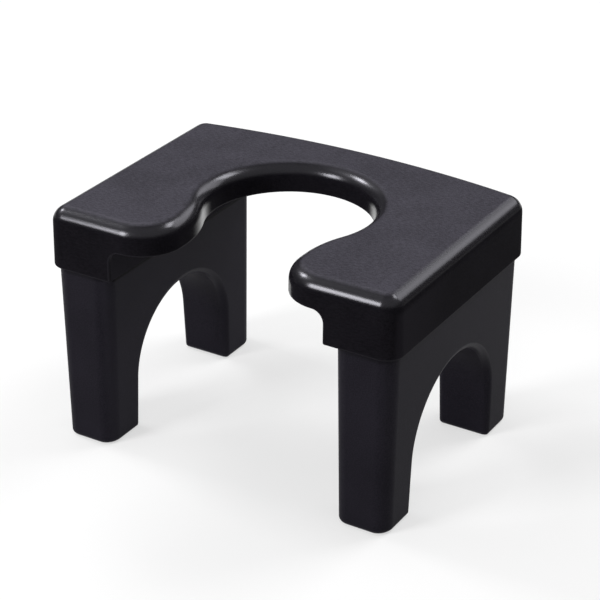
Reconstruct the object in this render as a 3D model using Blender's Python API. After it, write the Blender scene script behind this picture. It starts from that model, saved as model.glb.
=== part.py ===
"""Toilet footstool of three plastic mouldings.

A tread shell with a keyhole cut-out open to the front rests on two arched leg panels.
Each panel is hollow and pushes up into a socket under the tread, one on the left and one on the right.
Four rubber pads are plugged into the undersides of the feet.

Metres, +Z up. The origin is on the floor, under the middle of the tread. The cut-out opens towards -Y.
"""
import math

import bmesh
import bpy
from mathutils import Vector

# Whole stool
WIDTH = 0.383
DEPTH = 0.2855
HEIGHT = 0.250
WALL = 0.0028
FIT = 0.0004
REST_GAP = 0.0003

# Tread: plan outline
CORNER_SPARE = 0.0005
BACK_RADIUS = 0.966
MOUTH_WIDTH = 0.125
MOUTH_STRAIGHT = 0.0065
NOSE_RADIUS = 0.0433
SHOULDER_RADIUS = 0.1105
HOLE_RADIUS = 0.0825

# Tread: edge and skirt
ROLL_RADIUS = 0.0165
DRAFT = 0.0008
SKIRT_DEPTH = 0.062
LIP_DEPTH = 0.0293
STEP_FILLET = 0.012
STEP_LAND = 0.0006
RIM_ROUND = 0.002

# Tread: sockets and ribs underneath
SEAT_DEPTH = 0.020
RIB = 0.002
RIB_DEPTH = 0.021
RIB_PITCH = 0.042
LOCATOR_WIDTH = 0.003
LOCATOR_REACH = 0.00295
LOCATOR_PITCH = 0.090

# Leg panels
LEG_WIDTH = 0.0635
LEG_TAPER = 0.004
LEG_CORNER_SPARE = 0.0027
FOOT_ROUND = 0.0035
SOLE = 0.0045
ARCH_RADIUS = 0.0778
ARCH_SPRING = 0.0535
ARCH_DRAFT = math.radians(2)
ARCH_FILLET = 0.007

# Foot pads
PAD_WIDTH = 0.034
PAD_LENGTH = 0.026
PAD_CORNER = 0.007
PAD_PROUD = 0.001
PAD_RECESS = 0.0015
STUD_RADIUS = 0.0035
BARB_STEP = 0.0011
BARB_EDGE = 0.0009
BARB_HEIGHT = 0.0035
BARB_TIP_SHARE = 0.5

# Colours and roughness
TREAD_COLOUR = (0.022, 0.021, 0.025)
TREAD_ROUGHNESS = 0.34
LEG_COLOUR = (0.020, 0.020, 0.022)
LEG_ROUGHNESS = 0.46
PAD_COLOUR = (0.012, 0.012, 0.012)
PAD_ROUGHNESS = 0.85

# Facets on round forms, cuts and shading
ROLL_STEPS = 6
CORNER_STEPS = 6
RIM_STEPS = 2
HOLE_STEPS = 22
SHOULDER_STEPS = 6
BACK_STEPS = 8
ARCH_STEPS = 12
FILLET_STEPS = 4
STUD_STEPS = 16
OVERRUN = 0.010
SAME_POINT = 0.00003
FLAT_ANGLE = math.radians(0.1)
CUT_EDGE_ANGLE = math.radians(60)
SHADING_ANGLE = math.radians(30)

# Places of the tread: its skirt is cut short at the back, above part of its draft
RIM_Z = HEIGHT - SKIRT_DEPTH
LIP_DRAFT = DRAFT * (SKIRT_DEPTH - LIP_DEPTH) / (SKIRT_DEPTH - ROLL_RADIUS)
FRONT = -DEPTH / 2
BACK = DEPTH / 2 + LIP_DRAFT
CORNER_RADIUS = DRAFT + ROLL_RADIUS + CORNER_SPARE
CORNER_X = WIDTH / 2 - CORNER_RADIUS
BOW_CENTRE_Y = BACK - BACK_RADIUS
BACK_CORNER_Y = BOW_CENTRE_Y + math.sqrt((BACK_RADIUS - CORNER_RADIUS) ** 2 - CORNER_X ** 2)
BACK_TURN = math.atan2(BACK_CORNER_Y - BOW_CENTRE_Y, CORNER_X)

# Places of the right leg panel: its flat back meets the skirt where the bowed edge begins
LEG_INSET = DRAFT + WALL + FIT
LEG_CORNER = CORNER_RADIUS - LEG_INSET + LEG_CORNER_SPARE
LEG_OUTER = WIDTH / 2 - LEG_INSET
LEG_INNER = LEG_OUTER - LEG_WIDTH
LEG_MIDDLE = LEG_OUTER - LEG_WIDTH / 2
LEG_FRONT = FRONT + LEG_INSET
LEG_BACK = BACK_CORNER_Y + (CORNER_RADIUS - LEG_INSET) * math.sin(BACK_TURN)
LEG_CENTRE_Y = (LEG_FRONT + LEG_BACK) / 2
LEG_TOP = HEIGHT - SEAT_DEPTH

# Places of the right socket's inner wall and of the step in the skirt beside it
SOCKET_WALL_IN = LEG_INNER - FIT - LOCATOR_REACH
SOCKET_WALL_OUT = SOCKET_WALL_IN - WALL
STEP_X = SOCKET_WALL_OUT - STEP_LAND


def arc(centre, radius, start, end, steps):
    """Points along an arc, from one angle to another, both ends included."""
    points = []
    for step in range(steps + 1):
        angle = start + (end - start) * step / steps
        points.append(Vector((centre[0] + radius * math.cos(angle), centre[1] + radius * math.sin(angle))))
    return points


def without_doubles(points):
    """The outline without points that fall on the one before."""
    kept = [points[0]]
    for point in points[1:]:
        if (point - kept[-1]).length > SAME_POINT:
            kept.append(point)
    return kept


def cutout_centres():
    """Centres of the nose, the shoulder and the round hole on the right, each touching the next."""
    nose = Vector((MOUTH_WIDTH / 2 + NOSE_RADIUS, FRONT + NOSE_RADIUS))
    shoulder = Vector((MOUTH_WIDTH / 2 + SHOULDER_RADIUS, nose.y + MOUTH_STRAIGHT))
    rise = math.sqrt((SHOULDER_RADIUS + HOLE_RADIUS) ** 2 - shoulder.x ** 2)
    return nose, shoulder, Vector((0, shoulder.y + rise))


def tread_outline(inset):
    """The tread in plan, moved into the plastic by inset, from the back of the hole out round the front."""
    nose, shoulder, hole = cutout_centres()
    meeting = math.atan2(shoulder.y - hole.y, shoulder.x)
    quarter = math.pi / 2
    corner = CORNER_RADIUS - inset
    half = arc(hole, HOLE_RADIUS + inset, quarter, meeting, HOLE_STEPS)
    half += arc(shoulder, SHOULDER_RADIUS - inset, meeting + math.pi, math.pi, SHOULDER_STEPS)
    half += arc(nose, NOSE_RADIUS - inset, math.pi, 3 * quarter, 2 * CORNER_STEPS)
    half += arc((CORNER_X, FRONT + CORNER_RADIUS), corner, 3 * quarter, 4 * quarter, CORNER_STEPS)
    half += arc((CORNER_X, BACK_CORNER_Y), corner, 0, BACK_TURN, CORNER_STEPS)
    half += arc((0, BOW_CENTRE_Y), BACK_RADIUS - inset, BACK_TURN, quarter, BACK_STEPS)
    half = without_doubles(half)
    mirrored = [Vector((-point.x, point.y)) for point in reversed(half[1:-1])]
    return half + mirrored


def block_outline(low, high, corner, inset):
    """A block in plan between two corner points, with rounded corners, moved inwards by inset."""
    quarter = math.pi / 2
    left, right = low[0] + corner, high[0] - corner
    near, far = low[1] + corner, high[1] - corner
    points = []
    for turn, centre in enumerate(((right, far), (left, far), (left, near), (right, near))):
        points += arc(centre, corner - inset, turn * quarter, (turn + 1) * quarter, CORNER_STEPS)
    return without_doubles(points)


def leg_outline(inset):
    """The right leg panel in plan, moved inwards by inset."""
    return block_outline((LEG_INNER, LEG_FRONT), (LEG_OUTER, LEG_BACK), LEG_CORNER, inset)


def add_object(name, shape):
    """A scene object from a bmesh, with its faces turned outwards."""
    bmesh.ops.recalc_face_normals(shape, faces=shape.faces)
    mesh = bpy.data.meshes.new(name)
    shape.to_mesh(mesh)
    shape.free()
    body = bpy.data.objects.new(name, mesh)
    bpy.context.scene.collection.objects.link(body)
    return body


def loft(name, rings):
    """A closed body through rings of 3-D points, capped at both ends."""
    shape = bmesh.new()
    loops = [[shape.verts.new(point) for point in ring] for ring in rings]
    for low, high in zip(loops, loops[1:]):
        for step in range(len(low)):
            after = (step + 1) % len(low)
            shape.faces.new((low[step], low[after], high[after], high[step]))
    shape.faces.new(reversed(loops[0]))
    shape.faces.new(loops[-1])
    return add_object(name, shape)


def box(name, low, high):
    """A plain block between two corners, for a cut or a rib."""
    shape = bmesh.new()
    bmesh.ops.create_cube(shape, size=1)
    size = Vector(high) - Vector(low)
    centre = (Vector(high) + Vector(low)) / 2
    for vert in shape.verts:
        vert.co = Vector((vert.co.x * size.x, vert.co.y * size.y, vert.co.z * size.z)) + centre
    return add_object(name, shape)


def combine(body, other, operation):
    """Apply one Boolean to body and remove the other object."""
    modifier = body.modifiers.new("combine", "BOOLEAN")
    modifier.object = other
    modifier.operation = operation
    modifier.solver = "EXACT"
    graph = bpy.context.evaluated_depsgraph_get()
    mesh = bpy.data.meshes.new_from_object(body.evaluated_get(graph))
    body.modifiers.clear()
    old = body.data
    body.data = mesh
    bpy.data.meshes.remove(old)
    bpy.data.objects.remove(other, do_unlink=True)
    return body


def mirror_in_x(body):
    """Turn a body into its mirror image across the stool's middle."""
    for vert in body.data.vertices:
        vert.co.x = -vert.co.x
    body.data.flip_normals()
    return body


def move_origin(body, place):
    """Put a piece's origin at a place without moving its shape."""
    for vert in body.data.vertices:
        vert.co -= place
    body.location = place


def tread_body(name, inset, bottom):
    """The tread's outer form up to its deck, or the hollow inside it where inset is the wall."""
    roll = ROLL_RADIUS - inset
    rings = [(0, z) for z in sorted({bottom, RIM_Z})]
    for step in range(ROLL_STEPS + 1):
        angle = math.pi / 2 * step / ROLL_STEPS
        rings.append((DRAFT + roll * (1 - math.cos(angle)), HEIGHT - ROLL_RADIUS + roll * math.sin(angle)))
    return loft(name, [[(p.x, p.y, z) for p in tread_outline(inset + more)] for more, z in rings])


def step_cutter():
    """What is cut from the skirt between the legs: a wide slab whose two upper edges are rounded."""
    top = HEIGHT - LIP_DEPTH
    profile = [Vector((STEP_X, RIM_Z - OVERRUN))]
    profile += arc((STEP_X - STEP_FILLET, top - STEP_FILLET), STEP_FILLET, 0, math.pi / 2, CORNER_STEPS)
    profile += [Vector((-point.x, point.y)) for point in reversed(profile)]
    rings = []
    for y in (FRONT - OVERRUN, BACK + OVERRUN):
        rings.append([(point.x, y, point.y) for point in profile])
    return loft("step_cutter", rings)


def round_edges(body, radius):
    """Round every sharp edge of a body, once its flat faces are whole again."""
    shape = bmesh.new()
    shape.from_mesh(body.data)
    bmesh.ops.dissolve_limit(shape, angle_limit=FLAT_ANGLE, verts=shape.verts, edges=shape.edges)
    sharp = [edge for edge in shape.edges if edge.calc_face_angle(0) > CUT_EDGE_ANGLE]
    bmesh.ops.bevel(
        shape, geom=sharp, offset=radius, segments=RIM_STEPS, profile=0.5, affect="EDGES", clamp_overlap=True
    )
    shape.to_mesh(body.data)
    shape.free()
    return body


def spaced(low, high, pitch):
    """Even places between two limits, about a pitch apart, clear of both ends."""
    count = max(1, round((high - low) / pitch) - 1)
    return [low + (high - low) * (place + 1) / (count + 1) for place in range(count)]


def middle_hollow():
    """The hollow between the two sockets, left with a grid of stiffening ribs under the deck."""
    hollow = tread_body("middle_hollow", WALL, RIM_Z - OVERRUN)
    low = (-SOCKET_WALL_OUT, FRONT - OVERRUN, RIM_Z - 2 * OVERRUN)
    high = (SOCKET_WALL_OUT, BACK + OVERRUN, HEIGHT + OVERRUN)
    combine(hollow, box("middle_bounds", low, high), "INTERSECT")
    rib_low = HEIGHT - RIB_DEPTH
    for y in spaced(FRONT, BACK, RIB_PITCH):
        plate_low = (-SOCKET_WALL_IN, y - RIB / 2, rib_low)
        plate_high = (SOCKET_WALL_IN, y + RIB / 2, HEIGHT + OVERRUN)
        combine(hollow, box("cross_rib", plate_low, plate_high), "DIFFERENCE")
    for x in spaced(-SOCKET_WALL_OUT, SOCKET_WALL_OUT, RIB_PITCH):
        plate_low = (x - RIB / 2, FRONT - OVERRUN, rib_low)
        plate_high = (x + RIB / 2, BACK + OVERRUN, HEIGHT + OVERRUN)
        combine(hollow, box("long_rib", plate_low, plate_high), "DIFFERENCE")
    return hollow


def socket_hollow():
    """The right socket's hollow, left with seat ribs above the leg and locating ribs beside it."""
    hollow = tread_body("socket_hollow", WALL, RIM_Z - OVERRUN)
    low = (SOCKET_WALL_IN, FRONT - OVERRUN, RIM_Z - 2 * OVERRUN)
    high = (WIDTH, BACK + OVERRUN, HEIGHT + OVERRUN)
    combine(hollow, box("socket_bounds", low, high), "INTERSECT")
    for y in spaced(FRONT, BACK, RIB_PITCH):
        plate_low = (SOCKET_WALL_OUT, y - RIB / 2, LEG_TOP + REST_GAP)
        plate_high = (WIDTH, y + RIB / 2, HEIGHT + OVERRUN)
        combine(hollow, box("seat_rib", plate_low, plate_high), "DIFFERENCE")
    locator_low = RIM_Z + RIM_ROUND
    for y in (LEG_CENTRE_Y - LOCATOR_PITCH, LEG_CENTRE_Y, LEG_CENTRE_Y + LOCATOR_PITCH):
        plate_low = (SOCKET_WALL_OUT, y - LOCATOR_WIDTH / 2, locator_low)
        plate_high = (LEG_INNER - FIT, y + LOCATOR_WIDTH / 2, HEIGHT + OVERRUN)
        combine(hollow, box("side_locator", plate_low, plate_high), "DIFFERENCE")
    plate_low = (LEG_MIDDLE - LOCATOR_WIDTH / 2, LEG_BACK + FIT, locator_low)
    plate_high = (LEG_MIDDLE + LOCATOR_WIDTH / 2, BACK + OVERRUN, HEIGHT + OVERRUN)
    combine(hollow, box("back_locator", plate_low, plate_high), "DIFFERENCE")
    return hollow


def build_tread():
    """The tread shell: deck, rolled edges, keyhole cut-out, stepped skirt, two sockets and ribs."""
    tread = tread_body("seat_top", 0, RIM_Z)
    combine(tread, step_cutter(), "DIFFERENCE")
    round_edges(tread, RIM_ROUND)
    combine(tread, middle_hollow(), "DIFFERENCE")
    combine(tread, socket_hollow(), "DIFFERENCE")
    combine(tread, mirror_in_x(socket_hollow()), "DIFFERENCE")
    return tread


def arch_profile(grow):
    """Half the arch seen from the side, out from its middle: rounded foot edge, spreading side, round top."""
    quarter = math.pi / 2
    crown = arc((0, ARCH_SPRING), ARCH_RADIUS + grow, ARCH_DRAFT, quarter, ARCH_STEPS)
    foot_z = PAD_PROUD + FOOT_ROUND
    foot_y = crown[0].x + (crown[0].y - foot_z) * math.tan(ARCH_DRAFT)
    round_foot = arc((foot_y + FOOT_ROUND, foot_z), FOOT_ROUND, 3 * quarter, 2 * quarter, FILLET_STEPS)
    return [Vector((foot_y + FOOT_ROUND, PAD_PROUD - OVERRUN))] + round_foot[1:] + crown


def arch_tunnel(name, grow):
    """The tunnel through a panel, flared at both faces so that its edges come out rounded."""
    fillet = ARCH_FILLET - grow
    rings = []
    for face, inward in ((LEG_INNER + grow, 1), (LEG_OUTER - grow, -1)):
        flare = [(face - inward * OVERRUN, ARCH_FILLET)]
        for step in range(FILLET_STEPS + 1):
            angle = math.pi / 2 * step / FILLET_STEPS
            x = face + inward * fillet * (1 - math.cos(angle))
            flare.append((x, grow + fillet * (1 - math.sin(angle))))
        rings += flare if inward > 0 else reversed(flare)
    outlines = []
    for x, offset in rings:
        half = arch_profile(offset)
        outline = [(x, LEG_CENTRE_Y + point.x, point.y) for point in half]
        outline += [(x, LEG_CENTRE_Y - point.x, point.y) for point in reversed(half[:-1])]
        outlines.append(outline)
    return loft(name, outlines)


def taper(body):
    """Narrow a panel from the tread's rim down to the floor, about the panel's own middle."""
    for vert in body.data.vertices:
        fall = max(0, RIM_Z - vert.co.z) / (RIM_Z - PAD_PROUD)
        squeeze = 1 - 2 * LEG_TAPER * fall / LEG_WIDTH
        vert.co.x = LEG_MIDDLE + (vert.co.x - LEG_MIDDLE) * squeeze
    return body


def foot_places():
    """Middles of the right panel's front and back foot: halfway between the panel's end and the arch."""
    arch_side = arch_profile(0)[FILLET_STEPS].x
    front = (LEG_FRONT + LEG_CENTRE_Y - arch_side) / 2
    back = (LEG_BACK + LEG_CENTRE_Y + arch_side) / 2
    return Vector((LEG_MIDDLE, front, 0)), Vector((LEG_MIDDLE, back, 0))


def rounded_block(name, centre, width, length, corner, low, high):
    """An upright block with rounded corners, for a pad or its recess."""
    near = (centre[0] - width / 2, centre[1] - length / 2)
    far = (centre[0] + width / 2, centre[1] + length / 2)
    outline = block_outline(near, far, corner, 0)
    return loft(name, [[(p.x, p.y, z) for p in outline] for z in (low, high)])


def turned(name, centre, profile):
    """An upright turned body from a profile of (radius, height) pairs, bottom to top."""
    rings = []
    for radius, z in profile:
        circle = arc(centre, radius, 0, 2 * math.pi, STUD_STEPS)[:-1]
        rings.append([(p.x, p.y, z) for p in circle])
    return loft(name, rings)


def build_leg(name):
    """The right leg panel: a hollow moulding, open at its top, with an arch through it and closed feet."""
    rings = []
    for step in range(FILLET_STEPS + 1):
        angle = math.pi / 2 * step / FILLET_STEPS
        rings.append((FOOT_ROUND * (1 - math.sin(angle)), PAD_PROUD + FOOT_ROUND * (1 - math.cos(angle))))
    rings += [(0, RIM_Z), (0, LEG_TOP)]
    leg = loft(name, [[(p.x, p.y, z) for p in leg_outline(inset)] for inset, z in rings])
    combine(leg, arch_tunnel("arch_tunnel", 0), "DIFFERENCE")
    levels = (PAD_PROUD + SOLE, RIM_Z, LEG_TOP + OVERRUN)
    hollow = loft("leg_hollow", [[(p.x, p.y, z) for p in leg_outline(WALL)] for z in levels])
    combine(hollow, arch_tunnel("arch_wall", WALL), "DIFFERENCE")
    combine(leg, hollow, "DIFFERENCE")
    taper(leg)
    width = PAD_WIDTH + 2 * REST_GAP
    length = PAD_LENGTH + 2 * REST_GAP
    corner = PAD_CORNER + REST_GAP
    bore = STUD_RADIUS + REST_GAP
    below = PAD_PROUD - OVERRUN
    for place in foot_places():
        recess = rounded_block("recess", place, width, length, corner, below, PAD_PROUD + PAD_RECESS)
        combine(leg, recess, "DIFFERENCE")
        hole = turned("stud_hole", place, [(bore, PAD_PROUD), (bore, PAD_PROUD + SOLE + OVERRUN)])
        combine(leg, hole, "DIFFERENCE")
    return leg


def build_pad(name):
    """A rubber pad about its own upright axis, with a barbed stud that snaps through the sole of a foot."""
    middle = (0, 0)
    top = PAD_PROUD + PAD_RECESS - REST_GAP
    pad = rounded_block(name, middle, PAD_WIDTH, PAD_LENGTH, PAD_CORNER, 0, top)
    barb_z = PAD_PROUD + SOLE + REST_GAP
    profile = [
        (STUD_RADIUS, top / 2),
        (STUD_RADIUS, barb_z),
        (STUD_RADIUS + BARB_STEP, barb_z),
        (STUD_RADIUS + BARB_STEP, barb_z + BARB_EDGE),
        (STUD_RADIUS * BARB_TIP_SHARE, barb_z + BARB_HEIGHT),
    ]
    return combine(pad, turned("stud", middle, profile), "UNION")


def finish(body, colour, roughness):
    """Give a piece its own material and smooth its round faces."""
    material = bpy.data.materials.new(f"{body.name}_finish")
    material.use_nodes = True
    shader = material.node_tree.nodes["Principled BSDF"]
    shader.inputs["Base Color"].default_value = (*colour, 1)
    shader.inputs["Roughness"].default_value = roughness
    shader.inputs["Metallic"].default_value = 0
    body.data.materials.clear()
    body.data.materials.append(material)
    body.data.shade_smooth()
    body.data.set_sharp_from_angle(angle=SHADING_ANGLE)


for leftover in list(bpy.data.objects):
    bpy.data.objects.remove(leftover, do_unlink=True)

finish(build_tread(), TREAD_COLOUR, TREAD_ROUGHNESS)

# Each panel slides down out of its socket along its own origin's Z, and carries its two pads
for side_name, side in (("left", -1), ("right", 1)):
    leg = build_leg(f"{side_name}_leg")
    if side < 0:
        mirror_in_x(leg)
    move_origin(leg, Vector((side * LEG_MIDDLE, LEG_CENTRE_Y, 0)))
    finish(leg, LEG_COLOUR, LEG_ROUGHNESS)
    for end_name, place in zip(("front", "back"), foot_places()):
        pad = build_pad(f"{end_name}_{side_name}_foot_pad")
        pad.parent = leg
        pad.location = Vector((side * place.x, place.y, 0)) - leg.location
        finish(pad, PAD_COLOUR, PAD_ROUGHNESS)
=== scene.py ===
import math

import bmesh
import bpy
from mathutils import Matrix, Vector


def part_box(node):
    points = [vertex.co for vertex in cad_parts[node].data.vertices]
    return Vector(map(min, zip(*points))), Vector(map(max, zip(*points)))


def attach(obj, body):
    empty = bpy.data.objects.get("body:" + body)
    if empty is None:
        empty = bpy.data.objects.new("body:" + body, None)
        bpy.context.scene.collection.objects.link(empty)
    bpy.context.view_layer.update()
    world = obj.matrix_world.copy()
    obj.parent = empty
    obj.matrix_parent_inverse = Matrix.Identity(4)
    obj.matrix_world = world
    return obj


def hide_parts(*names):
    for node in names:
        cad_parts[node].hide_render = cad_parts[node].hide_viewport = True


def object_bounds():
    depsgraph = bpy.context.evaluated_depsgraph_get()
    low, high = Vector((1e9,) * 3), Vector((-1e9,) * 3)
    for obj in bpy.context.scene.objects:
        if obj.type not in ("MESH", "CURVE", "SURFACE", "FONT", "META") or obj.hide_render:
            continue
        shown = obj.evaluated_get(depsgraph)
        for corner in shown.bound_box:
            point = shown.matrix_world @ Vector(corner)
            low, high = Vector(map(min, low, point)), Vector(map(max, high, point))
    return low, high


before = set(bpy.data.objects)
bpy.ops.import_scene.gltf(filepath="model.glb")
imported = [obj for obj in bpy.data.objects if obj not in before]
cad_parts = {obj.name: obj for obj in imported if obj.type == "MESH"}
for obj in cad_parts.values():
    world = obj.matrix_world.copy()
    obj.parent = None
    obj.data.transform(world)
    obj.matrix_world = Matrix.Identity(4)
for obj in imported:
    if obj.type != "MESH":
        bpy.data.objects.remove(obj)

cad_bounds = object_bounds()


# The view
# A long lens looks down on the stool from its front right, as in the photograph.
# The directions of the camera and of the lamps are given as seen from the stool: azimuth 0 is its open front.
def direction(azimuth, elevation):
    """The direction from the stool to something at an azimuth and elevation in degrees."""
    turn, lift = math.radians(azimuth), math.radians(elevation)
    return Vector((math.sin(turn) * math.cos(lift), -math.cos(turn) * math.cos(lift), math.sin(lift)))


def aim(item, place, away):
    """Put a camera or lamp at a place, upright, with its back turned to a direction."""
    right = Vector((0, 0, 1)).cross(away).normalized()
    axes = Matrix((right, away.cross(right), away)).transposed()
    item.matrix_world = Matrix.Translation(place) @ axes.to_4x4()


view_place = Vector((0.9189, -1.5023, 1.0523))
view_direction = direction(azimuth=31.23, elevation=27.42)
view = bpy.data.objects.new("view", bpy.data.cameras.new("view"))
view.data.sensor_width = 36
view.data.lens = 120.376
bpy.context.scene.collection.objects.link(view)
aim(view, view_place, view_direction)
bpy.context.scene.camera = view
bpy.context.scene.view_settings.view_transform = "Standard"


# The studio
# A pale seamless floor and a dim sky, with five soft boxes. Two narrow ones draw the bright lines on the
# rolled edge from the left, two behind draw the soft ones, and a large weak one fills the left. The camera
# sees the floor mixed with white, which keeps the ground pale without more light on the stool.
def node(tree, kind, inputs=None, **settings):
    """A node with its settings, and with each named input set to a value or joined to another's output."""
    made = tree.nodes.new(kind)
    for name, value in settings.items():
        setattr(made, name, value)
    for name, value in (inputs or {}).items():
        if isinstance(value, bpy.types.NodeSocket):
            tree.links.new(value, made.inputs[name])
        else:
            made.inputs[name].default_value = value
    return made


def maths(tree, operation, *values):
    """One Math node's result."""
    return node(tree, "ShaderNodeMath", dict(enumerate(values)), operation=operation).outputs[0]


def new_material(name):
    """A material with its node tree and its shader."""
    material = bpy.data.materials.new(name)
    material.use_nodes = True
    return material, material.node_tree, material.node_tree.nodes["Principled BSDF"]


cool_white = (0.93, 0.92, 1)
lamp_distance = 3
stool_middle = Vector((0, 0, cad_bounds[1][2] / 2))


def soft_box(name, azimuth, elevation, width, height, radiance):
    """A rectangular lamp of a given size and brightness that shines at the stool from a direction."""
    lamp = bpy.data.objects.new(name, bpy.data.lights.new(name, "AREA"))
    lamp.data.shape = "RECTANGLE"
    lamp.data.size = width
    lamp.data.size_y = height
    lamp.data.energy = radiance * math.pi * width * height
    lamp.data.color = cool_white
    bpy.context.scene.collection.objects.link(lamp)
    away = direction(azimuth, elevation)
    aim(lamp, stool_middle + away * lamp_distance, away)


soft_box("left_front_box", azimuth=-30, elevation=32.5, width=0.90, height=0.98, radiance=17)
soft_box("left_box", azimuth=-90, elevation=43, width=0.60, height=0.60, radiance=22)
soft_box("back_low_box", azimuth=160, elevation=32, width=2.3, height=1.05, radiance=2.4)
soft_box("back_high_box", azimuth=150, elevation=52, width=1.25, height=0.70, radiance=9.5)
soft_box("left_fill", azimuth=-105, elevation=50, width=3.2, height=2.2, radiance=0.55)

sky = bpy.data.worlds.new("studio_sky")
sky.use_nodes = True
bpy.context.scene.world = sky
sky_tree = sky.node_tree
sky_glow = sky_tree.nodes["Background"]
upward = node(sky_tree, "ShaderNodeTexCoord").outputs["Generated"]
upward = node(sky_tree, "ShaderNodeSeparateXYZ", {"Vector": upward}).outputs["Z"]
strength = {"Value": upward, "From Min": 0.15, "From Max": 0.72, "To Min": 0.10, "To Max": 0.48}
strength = node(sky_tree, "ShaderNodeMapRange", strength, interpolation_type="SMOOTHSTEP").outputs["Result"]
sky_glow.inputs["Color"].default_value = (*cool_white, 1)
sky_tree.links.new(strength, sky_glow.inputs["Strength"])

floor_half = 12
floor_tint = (0.945, 0.955, 0.88, 1)
shadow_lift = 0.55
floor_mesh = bpy.data.meshes.new("studio_floor")
floor_corners = [(-floor_half, -floor_half, 0), (floor_half, -floor_half, 0)]
floor_corners += [(floor_half, floor_half, 0), (-floor_half, floor_half, 0)]
floor_mesh.from_pydata(floor_corners, [], [(0, 1, 2, 3)])
studio_floor = bpy.data.objects.new("studio_floor", floor_mesh)
bpy.context.scene.collection.objects.link(studio_floor)
floor_paint, floor_tree, lit = new_material("floor_paint")
lit.inputs["Base Color"].default_value = floor_tint
lit.inputs["Roughness"].default_value = 0.9
lit.inputs["Specular IOR Level"].default_value = 0
rays = node(floor_tree, "ShaderNodeLightPath").outputs
seen = maths(floor_tree, "MAXIMUM", rays["Is Camera Ray"], rays["Is Glossy Ray"])
seen = maths(floor_tree, "MAXIMUM", seen, rays["Is Transmission Ray"])
seen = maths(floor_tree, "MULTIPLY", seen, shadow_lift)
white = node(floor_tree, "ShaderNodeEmission", {"Strength": 1}).outputs[0]
lifted = node(floor_tree, "ShaderNodeMixShader", {0: seen, 1: lit.outputs[0], 2: white}).outputs[0]
floor_tree.links.new(lifted, floor_tree.nodes["Material Output"].inputs["Surface"])
floor_mesh.materials.append(floor_paint)


# The tread shell
# One injection moulding in black plastic: a flat deck with a rolled edge all round a keyhole outline of arcs
# that touch each other, a deep skirt round each leg's socket, and a shallow one between the legs.
seat_low, seat_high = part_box("seat_top")
leg_low, leg_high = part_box("right_leg")
deck_z, rim_z = seat_high.z, seat_low.z
front, side = seat_low.y, seat_high.x
wall = 0.0028
fit = 0.0004
draft = 0.0008
roll_radius = 0.0165
lip_depth = 0.0293
step_fillet = 0.012
rim_round = 0.002
corner_radius = 0.0178
mouth_width = 0.125
mouth_straight = 0.0065
nose_radius = 0.0433
shoulder_radius = 0.1105
hole_radius = 0.0825
back_radius = 0.966
locator_reach = 0.00295
overrun = 0.010
roll_steps = 16
same_point = 0.00003
weld_distance = 0.000001
fine_radius = 0.0025
quarter = math.pi / 2

# The draft and the rounded lip take lip_inset off the bow's depth, and the step in the skirt stops step_land
# short of the socket's wall
lip_inset = 0.0006
step_land = 0.0006
back = seat_high.y + lip_inset
bow_centre = Vector((0, back - back_radius, 0))
corner_x = side - corner_radius
back_corner_y = bow_centre.y + math.sqrt((back_radius - corner_radius) ** 2 - corner_x ** 2)
back_turn = math.atan2(back_corner_y - bow_centre.y, corner_x)
lip_z = deck_z - lip_depth
socket_in = leg_low.x - fit - locator_reach
socket_out = socket_in - wall


def arc(centre, radius, start, end, steps, concave=False):
    """Points along an arc, each with the direction that leads out of the plastic there."""
    points = []
    for step in range(steps + 1):
        angle = start + (end - start) * step / steps
        out = Vector((math.cos(angle), math.sin(angle), 0))
        points.append((Vector(centre) + out * radius, -out if concave else out))
    return points


def without_doubles(points):
    """The outline without points that fall on the one before."""
    kept = [points[0]]
    for point in points[1:]:
        if (point[0] - kept[-1][0]).length > same_point:
            kept.append(point)
    return kept


def keyhole_outline():
    """The tread in plan, from the back of the hole out round the right, and back by the left."""
    nose = Vector((mouth_width / 2 + nose_radius, front + nose_radius, 0))
    shoulder = Vector((mouth_width / 2 + shoulder_radius, nose.y + mouth_straight, 0))
    hole = Vector((0, shoulder.y + math.sqrt((shoulder_radius + hole_radius) ** 2 - shoulder.x ** 2), 0))
    meeting = math.atan2(shoulder.y - hole.y, shoulder.x)
    half = arc(hole, hole_radius, quarter, meeting, steps=56, concave=True)
    half += arc(shoulder, shoulder_radius, meeting + math.pi, math.pi, steps=14)
    half += arc(nose, nose_radius, math.pi, 3 * quarter, steps=24)
    half += arc((corner_x, front + corner_radius, 0), corner_radius, 3 * quarter, 4 * quarter, steps=16)
    half += arc((corner_x, back_corner_y, 0), corner_radius, 0, back_turn, steps=16)
    half += arc(bow_centre, back_radius, back_turn, quarter, steps=16)
    half = without_doubles(half)
    return half + [(Vector((-p.x, p.y, 0)), Vector((-out.x, out.y, 0))) for p, out in reversed(half[1:-1])]


def block_outline(low, high, corner, steps):
    """A block in plan between two corner points, with rounded corners."""
    left, right = low[0] + corner, high[0] - corner
    near, far = low[1] + corner, high[1] - corner
    points = []
    for turn, centre in enumerate(((right, far, 0), (left, far, 0), (left, near, 0), (right, near, 0))):
        points += arc(centre, corner, turn * quarter, (turn + 1) * quarter, steps)
    return without_doubles(points)


def new_tree(name, sizes):
    """An empty Geometry Nodes tree that takes a geometry and named sizes, and its group input's outputs."""
    tree = bpy.data.node_groups.new(name, "GeometryNodeTree")
    tree.interface.new_socket("Geometry", in_out="INPUT", socket_type="NodeSocketGeometry")
    for size, kind in sizes.items():
        tree.interface.new_socket(size, in_out="INPUT", socket_type=f"NodeSocket{kind}")
    tree.interface.new_socket("Geometry", in_out="OUTPUT", socket_type="NodeSocketGeometry")
    return tree, node(tree, "NodeGroupInput").outputs


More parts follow.
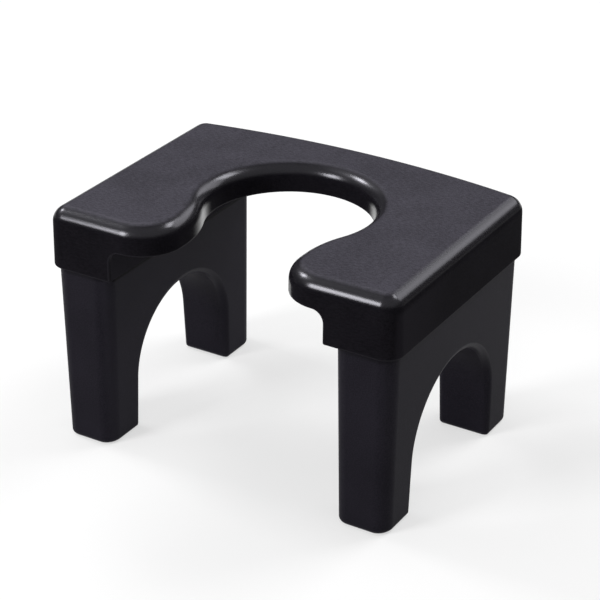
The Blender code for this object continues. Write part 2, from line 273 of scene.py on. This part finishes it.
def end_tree(tree, made, material):
    """Close a tree: real geometry in place of instances, in the piece's material."""
    real = node(tree, "GeometryNodeRealizeInstances", {"Geometry": made}).outputs[0]
    dressed = node(tree, "GeometryNodeSetMaterial", {"Geometry": real, "Material": material}).outputs[0]
    node(tree, "NodeGroupOutput", {"Geometry": dressed})
    return tree


def between(tree, share, first, last):
    """A number that share leads from the first to the last."""
    return node(tree, "ShaderNodeMix", {"Factor": share, "A": first, "B": last}).outputs[0]


def row_angle(tree, row, count):
    """The angle that a row has reached, where a number of rows make a quarter turn."""
    share = maths(tree, "DIVIDE", row, maths(tree, "MAXIMUM", count, 1))
    return maths(tree, "MULTIPLY", share, quarter)


def short_of(tree, radius, function, angle):
    """A radius less its sine or cosine part at an angle."""
    return maths(tree, "MULTIPLY", radius, maths(tree, "SUBTRACT", 1, maths(tree, function, angle)))


def profile_place(tree, sizes, row, start, out):
    """Where an outline's points go in one row of a rolled block: up round its foot, its side and its top."""
    foot_rows, foot, roll = sizes["Foot Steps"], sizes["Foot Round"], sizes["Roll Radius"]
    foot_angle = row_angle(tree, row, foot_rows)
    climbed = maths(tree, "SUBTRACT", maths(tree, "SUBTRACT", row, foot_rows), 1)
    roll_angle = row_angle(tree, climbed, sizes["Roll Steps"])
    foot_inset = short_of(tree, foot, "SINE", foot_angle)
    foot_z = maths(tree, "ADD", sizes["Low"], short_of(tree, foot, "COSINE", foot_angle))
    roll_inset = maths(tree, "ADD", sizes["Draft"], short_of(tree, roll, "COSINE", roll_angle))
    roll_z = maths(tree, "SUBTRACT", sizes["High"], short_of(tree, roll, "SINE", roll_angle))
    above = maths(tree, "GREATER_THAN", row, maths(tree, "ADD", foot_rows, 0.5))
    inset = maths(tree, "ADD", sizes["Inset"], between(tree, above, foot_inset, roll_inset))
    z = between(tree, above, foot_z, roll_z)
    inwards = node(tree, "ShaderNodeVectorMath", {0: out, "Scale": inset}, operation="SCALE").outputs[0]
    moved = node(tree, "ShaderNodeVectorMath", {0: start, 1: inwards}, operation="SUBTRACT").outputs[0]
    up = node(tree, "ShaderNodeCombineXYZ", {"Z": z}).outputs[0]
    return node(tree, "ShaderNodeVectorMath", {0: moved, 1: up}, operation="ADD").outputs[0]


def kept_vector(tree, name):
    """A vector kept on each point under a name."""
    return node(tree, "GeometryNodeInputNamedAttribute", {"Name": name}, data_type="FLOAT_VECTOR").outputs[0]


def rolled_block_tree():
    """A closed block on an outline, raised row by row: rounded foot, drafted side and rolled top edge."""
    sizes = dict.fromkeys(("Low", "High", "Inset", "Draft", "Foot Round", "Roll Radius"), "Float")
    sizes |= {"Foot Steps": "Int", "Roll Steps": "Int", "Material": "Material"}
    tree, given = new_tree("rolled_block", sizes)
    place = node(tree, "GeometryNodeInputPosition").outputs[0]
    kept = {"Geometry": given["Geometry"], "Name": "start", "Value": place}
    plate = node(tree, "GeometryNodeStoreNamedAttribute", kept, data_type="FLOAT_VECTOR", domain="POINT")
    start, out = kept_vector(tree, "start"), kept_vector(tree, "outward")
    plate = {"Geometry": plate.outputs[0], "Position": profile_place(tree, given, 0, start, out)}
    plate = node(tree, "GeometryNodeSetPosition", plate).outputs[0]
    zone_in = node(tree, "GeometryNodeRepeatInput")
    zone_out = node(tree, "GeometryNodeRepeatOutput")
    zone_in.pair_with_output(zone_out)
    zone_out.repeat_items.new("BOOLEAN", "Top")
    rows = maths(tree, "ADD", maths(tree, "ADD", given["Foot Steps"], given["Roll Steps"]), 1)
    tree.links.new(rows, zone_in.inputs["Iterations"])
    tree.links.new(plate, zone_in.inputs["Geometry"])
    zone_in.inputs["Top"].default_value = True
    raised = {"Mesh": zone_in.outputs["Geometry"], "Selection": zone_in.outputs["Top"], "Offset Scale": 0}
    raised = node(tree, "GeometryNodeExtrudeMesh", raised | {"Individual": False}, mode="FACES")
    row = maths(tree, "ADD", zone_in.outputs["Iteration"], 1)
    moved = {"Geometry": raised.outputs["Mesh"], "Selection": raised.outputs["Top"]}
    moved["Position"] = profile_place(tree, given, row, start, out)
    moved = node(tree, "GeometryNodeSetPosition", moved).outputs[0]
    tree.links.new(moved, zone_out.inputs["Geometry"])
    tree.links.new(raised.outputs["Top"], zone_out.inputs["Top"])
    base = node(tree, "GeometryNodeFlipFaces", {"Mesh": plate}).outputs[0]
    whole = node(tree, "GeometryNodeJoinGeometry")
    tree.links.new(zone_out.outputs["Geometry"], whole.inputs[0])
    tree.links.new(base, whole.inputs[0])
    closed = {"Geometry": whole.outputs[0], "Distance": weld_distance}
    closed = node(tree, "GeometryNodeMergeByDistance", closed).outputs[0]
    return end_tree(tree, closed, given["Material"])


def grow(body, tree, values):
    """Run a Geometry Nodes tree on a body and keep the result as its plain mesh."""
    modifier = body.modifiers.new("grow", "NODES")
    modifier.node_group = tree
    for item in tree.interface.items_tree:
        if item.in_out == "INPUT" and item.name in values:
            modifier[item.identifier] = values[item.name]
    return bake(body)


def bake(body):
    """Apply every modifier of a body."""
    bpy.context.view_layer.update()
    graph = bpy.context.evaluated_depsgraph_get()
    mesh = bpy.data.meshes.new_from_object(body.evaluated_get(graph))
    body.modifiers.clear()
    old, body.data = body.data, mesh
    bpy.data.meshes.remove(old)
    return body


def add_object(name, mesh):
    """A body in the scene for a mesh."""
    body = bpy.data.objects.new(name, mesh)
    bpy.context.scene.collection.objects.link(body)
    return body


def rolled_block(name, outline, **values):
    """A closed block raised on an outline, with its sizes given by the names of the tree's inputs."""
    mesh = bpy.data.meshes.new(name)
    mesh.from_pydata([place for place, out in outline], [], [range(len(outline))])
    outward = mesh.attributes.new("outward", "FLOAT_VECTOR", "POINT")
    for index, (place, out) in enumerate(outline):
        outward.data[index].vector = out
    sizes = {size.replace("_", " ").title(): value for size, value in values.items()}
    body = grow(add_object(name, mesh), block_tree, sizes)
    for kept in ("start", "outward"):
        body.data.attributes.remove(body.data.attributes[kept])
    return body


def loft(name, rings):
    """A closed body through rings of points, capped at both ends."""
    shape = bmesh.new()
    loops = [[shape.verts.new(point) for point in ring] for ring in rings]
    for low, high in zip(loops, loops[1:]):
        for step in range(len(low)):
            after = (step + 1) % len(low)
            shape.faces.new((low[step], low[after], high[after], high[step]))
    shape.faces.new(reversed(loops[0]))
    shape.faces.new(loops[-1])
    bmesh.ops.recalc_face_normals(shape, faces=shape.faces)
    mesh = bpy.data.meshes.new(name)
    shape.to_mesh(mesh)
    shape.free()
    return add_object(name, mesh)


def box(name, low, high):
    """A plain block between two corners, for a cut or a rib."""
    corners = ((low[0], low[1]), (high[0], low[1]), (high[0], high[1]), (low[0], high[1]))
    return loft(name, [[(x, y, z) for x, y in corners] for z in (low[2], high[2])])


def combine(body, other, operation):
    """Apply one Boolean to a body and remove the other object."""
    modifier = body.modifiers.new("combine", "BOOLEAN")
    modifier.object = other
    modifier.operation = operation
    modifier.solver = "EXACT"
    bake(body)
    bpy.data.objects.remove(other, do_unlink=True)
    return body


def mirror_in_x(body):
    """Turn a body into its mirror image across the stool's middle."""
    for vert in body.data.vertices:
        vert.co.x = -vert.co.x
    body.data.flip_normals()
    return body


def mark_edges(body):
    """Note on each face how tightly it is rounded, from 0 where it is flat to 1 on a fine rounded edge."""
    shape = bmesh.new()
    shape.from_mesh(body.data)
    layer = shape.faces.layers.float.new("edge")
    for face in shape.faces:
        area = max(face.calc_area(), same_point ** 2)
        bend = max(edge.calc_face_angle_signed(0) * edge.calc_length() / area for edge in face.edges)
        face[layer] = min(1, max(0, bend * fine_radius))
    shape.to_mesh(body.data)
    shape.free()


def dress(body, material):
    """Give a finished body its one material, and shade it smoothly with its flat faces truly flat."""
    mark_edges(body)
    body.data.materials.clear()
    body.data.materials.append(material)
    body.data.polygons.foreach_set("material_index", [0] * len(body.data.polygons))
    body.data.shade_smooth()
    body.data.set_sharp_from_angle(angle=math.radians(30))
    flatten = body.modifiers.new("flatten", "WEIGHTED_NORMAL")
    flatten.keep_sharp = True
    flatten.weight = 100
    return bake(body)


def step_cutter():
    """What is cut from the skirt between the legs: a wide slab with two rounded upper edges."""
    reach = socket_out - step_land
    profile = [Vector((reach, rim_z - overrun, 0))]
    fillet = arc((reach - step_fillet, lip_z - step_fillet, 0), step_fillet, 0, quarter, steps=16)
    profile += [place for place, out in fillet]
    profile += [Vector((-place.x, place.y, 0)) for place in reversed(profile)]
    return loft("step_cutter", [[(p.x, y, p.y) for p in profile] for y in (front - overrun, back + overrun)])


def round_edges(body, radius):
    """Round every sharp edge of a body, once its flat faces are whole again."""
    nearly_flat, sharp_angle = math.radians(0.1), math.radians(60)
    shape = bmesh.new()
    shape.from_mesh(body.data)
    bmesh.ops.dissolve_limit(shape, angle_limit=nearly_flat, verts=shape.verts, edges=shape.edges)
    sharp = [edge for edge in shape.edges if edge.calc_face_angle(0) > sharp_angle]
    bevel = {"offset": radius, "segments": 5, "profile": 0.5, "clamp_overlap": True}
    bmesh.ops.bevel(shape, geom=sharp, affect="EDGES", **bevel)
    shape.to_mesh(body.data)
    shape.free()
    return body


def noise(tree, place, scale, detail):
    """A soft irregular pattern between 0 and 1."""
    return node(tree, "ShaderNodeTexNoise", {"Vector": place, "Scale": scale, "Detail": detail}).outputs[0]


def faded(tree, value, low, high):
    """0 below one value and 1 above another, with a smooth change, or the reverse where low is higher."""
    limits = {"Value": value, "From Min": low, "From Max": high}
    return node(tree, "ShaderNodeMapRange", limits, interpolation_type="SMOOTHSTEP").outputs["Result"]


def tinted(tree, share, first, last):
    """A colour that share leads from the first to the last."""
    return node(tree, "ShaderNodeMix", {"Factor": share, 6: first, 7: last}, data_type="RGBA").outputs[2]


def varied(tree, pattern, least, spread):
    """A number that a pattern varies from a least value up."""
    return maths(tree, "MULTIPLY_ADD", pattern, spread, least)


def product(tree, first, *others):
    """Several numbers multiplied together."""
    for other in others:
        first = maths(tree, "MULTIPLY", first, other)
    return first


def rounding(tree, low, high):
    """How tightly the face at hand is rounded, as mark_edges noted it, from 0 at low to 1 at high."""
    bend = node(tree, "ShaderNodeAttribute", attribute_name="edge").outputs["Fac"]
    return faded(tree, bend, low, high)


def places(tree):
    """A piece's own coordinates, the distance from the stool's middle, the place along it and the height."""
    place = node(tree, "ShaderNodeTexCoord").outputs["Object"]
    split = node(tree, "ShaderNodeSeparateXYZ", {"Vector": place}).outputs
    return place, maths(tree, "ABSOLUTE", split["X"]), split["Y"], split["Z"]


def relieve(tree, shader, height, strength, distance, sockets=("Normal",)):
    """Give a shader a fine relief."""
    relief = {"Height": height, "Strength": strength, "Distance": distance}
    relief = node(tree, "ShaderNodeBump", relief).outputs[0]
    for socket in sockets:
        tree.links.new(relief, shader.inputs[socket])


# The tread's colours, some of them painted light, the distances and shares over which one look gives way to
# the next, and their weights
# The deck's colours are paler than the skirt's, partly for its textured finish and partly as painted light
# falling on the top
deck_dark = (0.029, 0.0275, 0.032, 1)
deck_pale = (0.063, 0.0600, 0.070, 1)
skirt_dark = (0.0054, 0.0049, 0.0061, 1)
skirt_pale = (0.0104, 0.0095, 0.0116, 1)
skirt_front_painted_light = (0.0165, 0.0150, 0.0185, 1)
inner_wall_painted_light = (0.023, 0.0215, 0.026, 1)
tread_edge_wear_and_highlight = (0.013, 0.0120, 0.015, 1)
deck_fade = 0.0020
beside_deck = 0.0040
at_deck = 0.0004
above_lip = 0.0005
well_above_lip = 0.0030
side_start = 0.0050
side_full = 0.0015
front_light_reach = 0.125
front_light_share = 0.65
roll_foot_start, roll_foot_full = 0.80, 1.20
roll_gloss_start, roll_gloss_full = 0.70, 0.45
hole_start, hole_full = 0.74, 0.64
beside_deck_gloss = 0.45
tread_edge_gloss = 0.08
streak_stretch = (0.30, 1, 1)
even_mix = 0.5


def tread_tint(tree, texture, cloud, edge, deck, inside):
    """The tread's colour: a greyer deck, partly its textured finish and partly painted light on the top,
    painted light on the wall under the lip and on the skirt's front sides, and wear with painted highlights
    on rounded edges.
    """
    _, from_middle, along, height = places(tree)
    worn = faded(tree, maths(tree, "MULTIPLY_ADD", cloud, 0.25, texture), low=0.46, high=0.79)
    mottle = faded(tree, maths(tree, "MULTIPLY_ADD", cloud, 0.3, texture), low=0.46, high=0.82)
    tint = tinted(tree, mottle, skirt_dark, skirt_pale)
    # Painted light: the skirt's outer sides are painted paler towards the front
    outer_side = faded(tree, from_middle, side - side_start, side - side_full)
    roll_foot = (deck_z - share * roll_radius for share in (roll_foot_start, roll_foot_full))
    below_roll = faded(tree, height, *roll_foot)
    near_front = faded(tree, along, front + front_light_reach, front)
    front_painted_light = product(tree, outer_side, below_roll, front_light_share, near_front)
    tint = tinted(tree, front_painted_light, tint, skirt_front_painted_light)
    # Painted light: the skirt's inner wall under the lip is painted paler
    below_lip = faded(tree, height, lip_z + rim_round, lip_z - rim_round)
    behind = faded(tree, along, front + rim_round, front + 2 * rim_round)
    tint = tinted(tree, product(tree, inside, below_lip, behind), tint, inner_wall_painted_light)
    # Wear and a painted highlight: the rounded edges are painted paler, where they catch the light
    tint = tinted(tree, edge, tint, tread_edge_wear_and_highlight)
    return tinted(tree, deck, tint, tinted(tree, worn, deck_dark, deck_pale))


def tread_gloss(tree, height, near_deck, edge, deck, inside):
    """The tread's gloss: high on the roll, less beside the deck, and on the cut-out's wall at a slant."""
    on_roll = (deck_z - share * roll_radius for share in (roll_gloss_start, roll_gloss_full))
    rolled = faded(tree, height, *on_roll)
    rolled = maths(tree, "MULTIPLY", rolled, between(tree, near_deck, 1, beside_deck_gloss))
    slanting = faded(tree, node(tree, "ShaderNodeLayerWeight").outputs["Facing"], low=0.57, high=0.80)
    on_wall = faded(tree, height, lip_z + above_lip, lip_z + well_above_lip)
    on_wall = maths(tree, "MULTIPLY", on_wall, maths(tree, "SUBTRACT", 1, deck))
    gloss = maths(tree, "MAXIMUM", rolled, product(tree, slanting, inside, on_wall))
    return maths(tree, "MAXIMUM", gloss, maths(tree, "MULTIPLY", edge, tread_edge_gloss))


def tread_plastic():
    """Black plastic: a fine streaky grain on the deck, a glossy rolled edge and a dull skirt below it."""
    material, tree, shader = new_material("tread_plastic")
    shader.inputs["Specular IOR Level"].default_value = 0.003
    shader.inputs["Coat Roughness"].default_value = 0.22
    place, from_middle, _, height = places(tree)
    drawn = node(tree, "ShaderNodeMapping", {"Vector": place, "Scale": streak_stretch}).outputs[0]
    streaks = noise(tree, drawn, scale=640, detail=4)
    grain = noise(tree, place, scale=900, detail=2)
    cloud = noise(tree, place, scale=22, detail=3)
    texture = maths(tree, "MULTIPLY_ADD", streaks, even_mix, maths(tree, "MULTIPLY", grain, even_mix))
    edge = product(tree, rounding(tree, low=0.3, high=0.9), varied(tree, grain, least=0.6, spread=0.5))
    deck = faded(tree, height, deck_z - deck_fade, deck_z - same_point)
    near_deck = faded(tree, height, deck_z - beside_deck, deck_z - at_deck)
    inside = faded(tree, from_middle, hole_start * side, hole_full * side)
    tree.links.new(tread_tint(tree, texture, cloud, edge, deck, inside), shader.inputs["Base Color"])
    deck_rough = varied(tree, texture, least=0.34, spread=0.16)
    edge_rough = varied(tree, cloud, least=0.36, spread=0.10)
    tree.links.new(between(tree, deck, edge_rough, deck_rough), shader.inputs["Roughness"])
    tree.links.new(tread_gloss(tree, height, near_deck, edge, deck, inside), shader.inputs["Coat Weight"])
    relief = maths(tree, "MULTIPLY", texture, varied(tree, near_deck, least=0.12, spread=0.88))
    relieve(tree, shader, relief, strength=0.4, distance=0.0002, sockets=("Normal", "Coat Normal"))
    return material


block_tree = rolled_block_tree()
black_satin = tread_plastic()
tread_outline = keyhole_outline()
skirt = {"draft": draft, "roll_steps": roll_steps, "material": black_satin}
heights = {"low": rim_z, "high": deck_z}
tread = rolled_block("tread_shell", tread_outline, roll_radius=roll_radius, **heights, **skirt)
combine(tread, step_cutter(), "DIFFERENCE")
round_edges(tread, rim_round)


# The sockets and ribs under the tread
# Moulded in one with it: a grid of stiffening ribs under the deck between the sockets, and in each socket the
# ribs that bear on the leg's top and the locating ribs that hold it square.
rib = 0.002
rib_depth = 0.021
rib_low = deck_z - rib_depth
rib_pitch = 0.042
locator = 0.003
locator_pitch = 0.090
gap = 0.0003
seat_z = leg_high.z + gap
leg_middle_x = (leg_low.x + leg_high.x) / 2
leg_middle_y = (leg_low.y + leg_high.y) / 2


def row_tree():
    """Copies of a body in a straight row, such as ribs, or pads under feet."""
    sizes = {"Count": "Int", "First": "Vector", "Step": "Vector", "Material": "Material"}
    tree, given = new_tree("row_of_copies", sizes)
    line = {"Count": given["Count"], "Start Location": given["First"], "Offset": given["Step"]}
    line = node(tree, "GeometryNodeMeshLine", line, mode="OFFSET").outputs[0]
    copies = node(tree, "GeometryNodeInstanceOnPoints", {"Points": line, "Instance": given["Geometry"]})
    return end_tree(tree, copies.outputs[0], given["Material"])


copies_tree = row_tree()


def rib_row(hollow, size, first, last, count):
    """Leave a row of ribs standing in a hollow, at even places between two middles."""
    half = Vector(size) / 2
    step = (Vector(last) - Vector(first)) / max(1, count - 1)
    plates = box("ribs", -half, half)
    grow(plates, copies_tree, {"Count": count, "First": first, "Step": step, "Material": black_satin})
    return combine(hollow, plates, "DIFFERENCE")


def hollow_between(name, low_x, high_x):
    """The inside of the shell between two walls."""
    inner = {"inset": wall, "low": rim_z - overrun, "high": deck_z - wall, "roll_radius": roll_radius - wall}
    hollow = rolled_block(name, tread_outline, **inner, **skirt)
    low = (low_x, front - overrun, rim_z - 2 * overrun)
    return combine(hollow, box("bounds", low, (high_x, back + overrun, deck_z + overrun)), "INTERSECT")


def spaced(low, high):
    """The first and last place and the number of ribs about a pitch apart, clear of both ends."""
    count = max(1, round((high - low) / rib_pitch) - 1)
    spacing = (high - low) / (count + 1)
    return low + spacing, high - spacing, count


def middle_hollow():
    """The hollow between the sockets with its grid of ribs."""
    hollow = hollow_between("middle_hollow", -socket_out, socket_out)
    rib_height = deck_z + overrun - rib_low
    middle_z = rib_low + rib_height / 2
    first, last, count = spaced(front, back)
    rib_row(hollow, (2 * socket_in, rib, rib_height), (0, first, middle_z), (0, last, middle_z), count)
    first, last, count = spaced(-socket_out, socket_out)
    length = back - front + 2 * overrun
    rib_row(hollow, (rib, length, rib_height), (first, 0, middle_z), (last, 0, middle_z), count)
    return hollow


def socket_hollow():
    """The right leg's socket with the ribs above and beside the leg."""
    hollow = hollow_between("socket_hollow", socket_in, side + overrun)
    seat_height = deck_z + overrun - seat_z
    middle = Vector(((socket_out + side) / 2, 0, seat_z + seat_height / 2))
    first, last, count = spaced(front, back)
    size = (side - socket_out + overrun, rib, seat_height)
    rib_row(hollow, size, (middle.x, first, middle.z), (middle.x, last, middle.z), count)
    low_z = rim_z + rim_round
    height = deck_z + overrun - low_z
    x = (socket_out + leg_low.x - fit) / 2
    z = low_z + height / 2
    first, last = ((x, leg_middle_y + along, z) for along in (-locator_pitch, locator_pitch))
    rib_row(hollow, (leg_low.x - fit - socket_out, locator, height), first, last, 3)
    length = back + overrun - leg_high.y - fit
    middle = (leg_middle_x, leg_high.y + fit + length / 2, z)
    rib_row(hollow, (locator, length, height), middle, middle, 1)
    return hollow


combine(tread, middle_hollow(), "DIFFERENCE")
combine(tread, socket_hollow(), "DIFFERENCE")
combine(tread, mirror_in_x(socket_hollow()), "DIFFERENCE")
dress(tread, black_satin)
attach(tread, "tread")
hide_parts("seat_top")


# The leg panels
# Two hollow mouldings in matt black plastic, open at the top, with an arch through each that leaves two feet.
# They push up into the sockets, taper towards the floor, and have broadly rounded edges round the arch.
leg_corner = 0.0165
leg_taper = 0.004
foot_round = 0.0035
sole = 0.0045
arch_radius = 0.0778
arch_spring = 0.0535
arch_draft = math.radians(2)
arch_fillet = 0.007
fillet_steps = 12
pad_low, pad_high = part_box("front_right_foot_pad")
back_pad_low, back_pad_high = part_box("back_right_foot_pad")
pad_middles = ((pad_low.y + pad_high.y) / 2, (back_pad_low.y + back_pad_high.y) / 2)
pad_corner = 0.007
pad_recess = 0.0015
stud_radius = 0.0035


def arch_profile(grow_by):
    """Half the arch seen from the side, out from its middle: rounded foot edge, spreading side, round top."""
    crown = arc((0, arch_spring, 0), arch_radius + grow_by, arch_draft, quarter, steps=36)
    foot_z = leg_low.z + foot_round
    foot_y = crown[0][0].x + (crown[0][0].y - foot_z) * math.tan(arch_draft)
    round_foot = arc((foot_y + foot_round, foot_z, 0), foot_round, 3 * quarter, 2 * quarter, steps=6)
    below = Vector((foot_y + foot_round, leg_low.z - overrun, 0))
    return [below] + [place for place, out in round_foot[1:] + crown]


def arch_tunnel(name, grow_by):
    """The tunnel through a panel, flared at both faces so that its edges come out rounded."""
    fillet = arch_fillet - grow_by
    rings = []
    for face, inward in ((leg_low.x + grow_by, 1), (leg_high.x - grow_by, -1)):
        flare = [(face - inward * overrun, arch_fillet)]
        for step in range(fillet_steps + 1):
            angle = quarter * step / fillet_steps
            x = face + inward * fillet * (1 - math.cos(angle))
            flare.append((x, grow_by + fillet * (1 - math.sin(angle))))
        rings += flare if inward > 0 else reversed(flare)
    outlines = []
    for x, offset in rings:
        half = arch_profile(offset)
        ring = [(x, leg_middle_y + p.x, p.y) for p in half]
        outlines.append(ring + [(x, leg_middle_y - p.x, p.y) for p in reversed(half[:-1])])
    return loft(name, outlines)


def taper(body):
    """Narrow a panel from the tread's rim down to the floor, about the panel's own middle."""
    for vert in body.data.vertices:
        fall = max(0, rim_z - vert.co.z) / (rim_z - leg_low.z)
        squeeze = 1 - 2 * leg_taper * fall / (leg_high.x - leg_low.x)
        vert.co.x = leg_middle_x + (vert.co.x - leg_middle_x) * squeeze


# The legs' colours, among them painted light, highlights and shadow, the distances and shares over which one
# look gives way to the next, and their weights
leg_dark = (0.0098, 0.0088, 0.0122, 1)
leg_pale = (0.0166, 0.0151, 0.0203, 1)
inner_side_painted_light = (0.030, 0.0280, 0.036, 1)
leg_edge_wear_and_highlight = (0.019, 0.0175, 0.023, 1)
painted_shadow_tint = (0.002, 0.002, 0.002, 1)
inner_start = 0.011
inner_full = 0.005
locator_start = 0.003
locator_full = 0.001
shade_start = 0.0060
shade_full = 0.0038
shade_fades = 0.0015
shade_ends = 0.0005
crown_start, crown_full = 0.3, 0.8
inner_side_light_share = 0.4
leg_edge_gloss = 0.3


def rim_painted_shadow(tree):
    """The painted shadow just under the tread's rim, lower on its inner face, where the rim stands off."""
    _, from_middle, _, height = places(tree)
    inner_face = faded(tree, from_middle, leg_low.x + locator_start, leg_low.x + locator_full)
    height = maths(tree, "MULTIPLY_ADD", inner_face, locator_reach, height)
    shade = faded(tree, height, rim_z - shade_start, rim_z - shade_full)
    shade_end = faded(tree, height, rim_z + shade_ends, rim_z - shade_fades)
    return product(tree, shade, shade_end, varied(tree, inner_face, least=0.3, spread=0.5))


def leg_plastic():
    """Matt black plastic with a fine even grain from the mould, with painted light inside the stool, wear and
    painted highlights on its edges, and a painted shadow under the tread's rim.
    """
    material, tree, shader = new_material("leg_plastic")
    shader.inputs["Specular IOR Level"].default_value = 0.025
    shader.inputs["Coat Roughness"].default_value = 0.3
    place, from_middle, _, height = places(tree)
    grain = noise(tree, place, scale=800, detail=4)
    cloud = noise(tree, place, scale=18, detail=4)
    mottle = maths(tree, "MULTIPLY_ADD", grain, 0.7, maths(tree, "MULTIPLY", cloud, 0.3))
    tint = tinted(tree, faded(tree, mottle, low=0.34, high=0.66), leg_dark, leg_pale)
    # Painted light: the panel's inner side, inside the stool, is painted paler
    inner_side = faded(tree, from_middle, leg_low.x + inner_start, leg_low.x + inner_full)
    tint = tinted(tree, maths(tree, "MULTIPLY", inner_side, inner_side_light_share), tint, inner_side_painted_light)
    # A painted highlight along the rounded edge over the arch's crown, and wear with painted highlights on
    # the finer rounded edges
    crown = (arch_spring + share * arch_radius for share in (crown_start, crown_full))
    crown = faded(tree, height, *crown)
    crown = maths(tree, "MULTIPLY", crown, rounding(tree, low=0.2, high=0.5))
    edge = maths(tree, "MAXIMUM", crown, rounding(tree, low=0.45, high=0.9))
    edge = maths(tree, "MULTIPLY", edge, varied(tree, grain, least=0.6, spread=0.5))
    tint = tinted(tree, edge, tint, leg_edge_wear_and_highlight)
    # Painted shadow: the panel is painted darker just under the tread's rim
    tree.links.new(tinted(tree, rim_painted_shadow(tree), tint, painted_shadow_tint), shader.inputs["Base Color"])
    tree.links.new(maths(tree, "MULTIPLY", edge, leg_edge_gloss), shader.inputs["Coat Weight"])
    rough = varied(tree, grain, least=varied(tree, cloud, least=0.34, spread=0.08), spread=0.12)
    tree.links.new(rough, shader.inputs["Roughness"])
    relieve(tree, shader, grain, strength=0.5, distance=0.0002)
    return material


def pad_outline(y, gap_round):
    """A foot pad in plan at one foot, or its recess where there is a gap round it."""
    half = Vector(((pad_high.x - pad_low.x) / 2 + gap_round, (pad_high.y - pad_low.y) / 2 + gap_round, 0))
    middle = Vector((leg_middle_x, y, 0))
    return block_outline(middle - half, middle + half, pad_corner + gap_round, steps=12)


def turned(name, y, profile):
    """An upright turned bar under the leg's middle, through pairs of radius and height."""
    rings = []
    for radius, z in profile:
        circle = arc((leg_middle_x, y, 0), radius, 0, 4 * quarter, steps=32)[:-1]
        rings.append([(p.x, p.y, z) for p, out in circle])
    return loft(name, rings)


def leg_panel(name, material):
    """The right leg panel: walls, arch, closed feet, and the recess and hole for each pad."""
    outline = block_outline(leg_low, leg_high, leg_corner, steps=16)
    heights = {"low": leg_low.z, "high": leg_high.z}
    leg = rolled_block(name, outline, foot_round=foot_round, foot_steps=8, material=material, **heights)
    combine(leg, arch_tunnel("arch", 0), "DIFFERENCE")
    heights = {"low": leg_low.z + sole, "high": leg_high.z + overrun}
    hollow = rolled_block("leg_hollow", outline, inset=wall, material=material, **heights)
    combine(hollow, arch_tunnel("arch_wall", wall), "DIFFERENCE")
    combine(leg, hollow, "DIFFERENCE")
    taper(leg)
    hole = [(stud_radius + gap, z) for z in (leg_low.z, leg_low.z + 2 * sole)]
    for y in pad_middles:
        recess = {"low": leg_low.z - overrun, "high": leg_low.z + pad_recess, "material": material}
        combine(leg, rolled_block("recess", pad_outline(y, gap), **recess), "DIFFERENCE")
        combine(leg, turned("stud_hole", y, hole), "DIFFERENCE")
    return leg


black_matt = leg_plastic()
for side_name in ("left", "right"):
    leg = leg_panel(f"{side_name}_leg_panel", black_matt)
    if side_name == "left":
        mirror_in_x(leg)
    dress(leg, black_matt)
    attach(leg, f"{side_name}_leg")
    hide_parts(f"{side_name}_leg")


# The foot pads
# Four dull black rubber pads with fine grooves across their undersides, each moulded with a barbed stud
# that snaps through the sole of its foot.
pad_top = leg_low.z + pad_recess - gap
barb_z = leg_low.z + sole + gap
barb_step = 0.0011
barb_edge = 0.0009
pad_edge = 0.0006
rubber_dark = (0.009, 0.009, 0.009, 1)
rubber_pale = (0.016, 0.0155, 0.015, 1)


def pad_rubber():
    """Dull black rubber with fine grooves moulded across it."""
    material, tree, shader = new_material("pad_rubber")
    shader.inputs["Specular IOR Level"].default_value = 0.2
    place = node(tree, "ShaderNodeTexCoord").outputs["Object"]
    cloud = noise(tree, place, scale=60, detail=4)
    grain = noise(tree, place, scale=1500, detail=2)
    grooves = {"Vector": place, "Scale": 160}
    grooves = node(tree, "ShaderNodeTexWave", grooves, bands_direction="Y", wave_profile="SIN").outputs["Fac"]
    tree.links.new(tinted(tree, cloud, rubber_dark, rubber_pale), shader.inputs["Base Color"])
    tree.links.new(varied(tree, cloud, least=0.7, spread=0.2), shader.inputs["Roughness"])
    relief = maths(tree, "MULTIPLY_ADD", grain, 0.15, grooves)
    relieve(tree, shader, relief, strength=0.6, distance=0.0004)
    return material


def foot_pads(name, material):
    """The right leg's two pads: a rounded plate with its stud, repeated along the row of feet."""
    outline = pad_outline(0, 0)
    plate = {"low": 0, "high": pad_top, "foot_round": pad_edge, "foot_steps": 5}
    pad = rolled_block(name, outline, material=material, **plate)
    barb_top = barb_z + barb_edge
    combine(pad, turned("stud", 0, [(stud_radius, pad_top / 2), (stud_radius, barb_top)]), "UNION")
    barb_radius = stud_radius + barb_step
    barb = [(barb_radius, barb_z), (barb_radius, barb_top), (stud_radius / 2, pad_high.z)]
    combine(pad, turned("barb", 0, barb), "UNION")
    first, last = (Vector((0, y, 0)) for y in pad_middles)
    return grow(pad, copies_tree, {"Count": 2, "First": first, "Step": last - first, "Material": material})


black_rubber = pad_rubber()
for side_name in ("left", "right"):
    pads = foot_pads(f"{side_name}_foot_pads", black_rubber)
    if side_name == "left":
        mirror_in_x(pads)
    dress(pads, black_rubber)
    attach(pads, f"{side_name}_leg")
    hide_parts(f"front_{side_name}_foot_pad", f"back_{side_name}_foot_pad")
